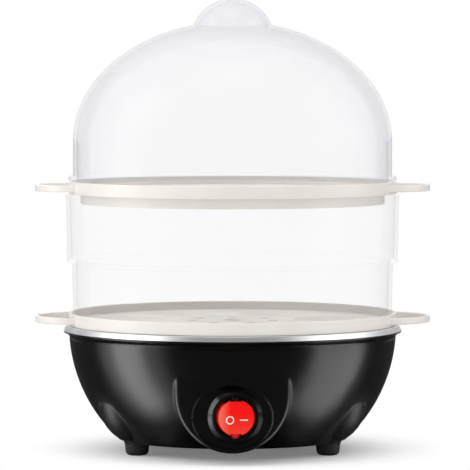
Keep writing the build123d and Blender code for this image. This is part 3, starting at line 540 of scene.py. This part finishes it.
def makeCircleMark():
    look = markLook
    mesh = bmesh.new()
    half, sunk, proud = look["stroke"] / 2, -look["sunk"], look["thickness"]
    corners = [(-half, sunk), (half, sunk), (half, proud), (-half, proud)]
    verts = [mesh.verts.new((look["ringRadius"] + x, 0, z)) for x, z in corners]
    edges = [mesh.edges.new((verts[k], verts[(k + 1) % 4])) for k in range(4)]
    bmesh.ops.spin(mesh, geom=verts + edges, cent=(0, 0, 0), axis=(0, 0, 1), angle=math.tau,
                   steps=look["ringSteps"], use_merge=True, use_duplicate=False)
    bmesh.ops.remove_doubles(mesh, verts=mesh.verts, dist=look["weld"])
    bmesh.ops.recalc_face_normals(mesh, faces=mesh.faces)
    bmesh.ops.translate(mesh, verts=mesh.verts, vec=(look["ringAt"], look["height"], 0))
    layOnRocker(mesh)
    newPiece("circleMark", mesh, "markWhite", "rocker")


def makeDashMark():
    look = markLook
    mesh = bmesh.new()
    bmesh.ops.create_cube(mesh, size=1.0)
    size = (look["dashLength"], look["stroke"], look["thickness"] + look["sunk"])
    bmesh.ops.scale(mesh, verts=mesh.verts, vec=size)
    heights = {edge: abs(edge.verts[0].co.z - edge.verts[1].co.z) for edge in mesh.edges}
    uprights = [edge for edge, height in heights.items() if height > look["upright"]]
    bmesh.ops.bevel(mesh, geom=uprights, offset=look["dashRound"], segments=look["dashSegments"],
                    profile=0.5, material=-1, affect="EDGES")
    middle = (look["dashAt"], look["height"], (look["thickness"] - look["sunk"]) / 2)
    bmesh.ops.translate(mesh, verts=mesh.verts, vec=middle)
    layOnRocker(mesh)
    newPiece("dashMark", mesh, "markWhite", "rocker")


makeCircleMark()
makeDashMark()
print("marks on the rocker")

# Studio: pale floor, white background, a soft panel and a strip on each side, a soft lamp above.
# The strips light gloss only.
studio = {
    "floorBase": 0.9, "floorSeen": 0.97, "floorLift": 0.165, "floorGloss": 0.06, "floorReach": 14.0,
    "floorSegments": 96, "nearFloor": 0.05, "farFloor": 0.14,
    "mirror": 0.95, "mirrorRoughness": 0.25, "nearMirror": 0.035, "farMirror": 0.06,
    "slantFrom": 0.04, "slantTo": 0.3,
    "surround": 0.80, "frontGloss": 0.01, "aboveGloss": 0.18,
    "behind": (0.62, 1.0), "sideY": (-0.1, 0.5), "sideZ": (0.2, 0.6), "above": (0.5, 0.95),
    "secondBounce": (1.2, 1.8),
}
sideLamps = {
    "leftPanel": {"angle": -78.0, "reach": 1.6, "size": (1.7, 1.9), "height": 1.0, "power": 10.3},
    "rightPanel": {"angle": 88.0, "reach": 1.6, "size": (1.2, 1.9), "height": 1.0, "power": 1.2},
    "leftStrip": {
        "angle": -79.0, "reach": 1.45, "size": (0.66, 1.9), "height": 1.0, "power": 12.4, "glossOnly": True,
    },
    "rightStrip": {
        "angle": 81.0, "reach": 1.45, "size": (1.2, 1.8), "height": 1.05, "power": 16.0, "glossOnly": True,
    },
}
topLamp = {"place": (0, -0.3, 2.3), "aim": (0, 0, 0.1), "size": (1.2, 1.2), "power": 12.0}


# The floor keeps the shadow near the object and runs out to white for the eye. Gloss sees it dark,
# and sees the lamps mirrored in it at a slant, but not in its middle. It is clear from below.
def makeFloor():
    mesh = bmesh.new()
    bmesh.ops.create_circle(
        mesh, cap_ends=True, segments=studio["floorSegments"], radius=studio["floorReach"])
    data = bpy.data.meshes.new("studioFloor")
    mesh.to_mesh(data)
    mesh.free()
    floor = bpy.data.objects.new("studioFloor", data)
    bpy.context.scene.collection.objects.link(floor)
    finish = Finish("floorWhite")
    place = finish.coords()
    reach = finish.make("VectorMath", {"operation": "LENGTH"}, {0: place}, output="Value")
    seen = finish.rays("Camera")
    gloss = finish.rays("Glossy")
    whiteness = studio["floorBase"] + (studio["floorSeen"] - studio["floorBase"]) * seen
    whiteness = whiteness + (studio["floorGloss"] - studio["floorBase"]) * gloss
    tint = finish.make("CombineXYZ", None, {0: whiteness, 1: whiteness, 2: whiteness})
    matt = finish.make("BsdfDiffuse", None, {"Color": tint})
    lift = finish.make("Emission", None, {"Color": white, "Strength": seen * studio["floorLift"]})
    near = finish.make("AddShader", None, {0: matt, 1: lift})
    plain = finish.make("Emission", None, {"Color": white, "Strength": 1.0})
    far = reach.band(studio["nearFloor"], studio["farFloor"]) * seen
    floorTop = finish.mixShader(far, near, plain)
    mirror = finish.make("BsdfGlossy", None, {"Color": white, "Roughness": studio["mirrorRoughness"]})
    facing = finish.facing()
    slant = facing.band(studio["slantFrom"], studio["slantTo"])
    away = reach.band(studio["nearMirror"], studio["farMirror"])
    floorTop = finish.mixShader(gloss * slant * away * studio["mirror"], floorTop, mirror)
    below = finish.make("NewGeometry", output="Backfacing")
    clear = finish.make("BsdfTransparent", None, {"Color": white})
    finish.finishWith(finish.mixShader(below, floorTop, clear))
    data.materials.append(finish.material)


# The world is white to the eye and behind clear plastic. Gloss sees it white at the back, dark in
# front, and not at all in the floor's mirror.
def makeWorld():
    world = bpy.data.worlds.new("surround")
    bpy.context.scene.world = world
    finish = Finish("surround", world)
    way = finish.make("TexCoord", output="Generated")
    behind = finish.part(way, "Y").band(*studio["behind"])
    side = finish.part(way, "Y").band(*studio["sideY"]) * finish.part(way, "Z").band(*studio["sideZ"])
    above = finish.part(way, "Z").band(*studio["above"]) * studio["aboveGloss"]
    seen = finish.rays("Camera").larger(finish.rays("Transmission"))
    gloss = finish.rays("Glossy")
    first = 1 - finish.make("LightPath", output="Glossy Depth").band(*studio["secondBounce"])
    plain = studio["surround"] + (studio["frontGloss"] - studio["surround"]) * gloss
    strength = plain.larger(seen).larger(gloss * first * behind.larger(side).larger(above))
    light = finish.make("Background", None, {"Color": white, "Strength": strength})
    finish.make("OutputWorld", None, {"Surface": light})


def makeLamp(name, place, aim, size, power, glossOnly=False):
    data = bpy.data.lights.new(name, "AREA")
    data.shape = "RECTANGLE"
    data.size, data.size_y = size
    data.energy = power
    lamp = bpy.data.objects.new(name, data)
    lamp.location = place
    lamp.rotation_euler = (Vector(aim) - Vector(place)).to_track_quat("-Z", "Y").to_euler()
    lamp.visible_camera = False
    lamp.visible_diffuse = not glossOnly
    bpy.context.scene.collection.objects.link(lamp)


def makeLamps():
    for name, lamp in sideLamps.items():
        angle = math.radians(lamp["angle"])
        height = lamp["height"]
        place = (lamp["reach"] * math.sin(angle), -lamp["reach"] * math.cos(angle), height)
        makeLamp(name, place, (0, 0, height), lamp["size"], lamp["power"], lamp.get("glossOnly", False))
    makeLamp("topLamp", topLamp["place"], topLamp["aim"], topLamp["size"], topLamp["power"])


# Camera at the photograph's angle. The focal length is in pixels of the photograph's width.
eye = {
    "place": (0.0, -1.9, 0.205), "aim": (0.0013, 0.0, 0.1145), "sensor": 36.0, "focalPixels": 3568,
    "widthPixels": 470, "clip": (0.05, 60.0),
}


def makeCamera():
    data = bpy.data.cameras.new("photoCamera")
    data.sensor_width = eye["sensor"]
    data.lens = eye["sensor"] * eye["focalPixels"] / eye["widthPixels"]
    data.clip_start, data.clip_end = eye["clip"]
    camera = bpy.data.objects.new("photoCamera", data)
    camera.location = eye["place"]
    camera.rotation_euler = (Vector(eye["aim"]) - Vector(eye["place"])).to_track_quat("-Z", "Y").to_euler()
    bpy.context.scene.collection.objects.link(camera)
    bpy.context.scene.camera = camera


makeFloor()
makeWorld()
makeLamps()
makeCamera()
bpy.context.scene.view_settings.view_transform = "Standard"
print("studio ready")
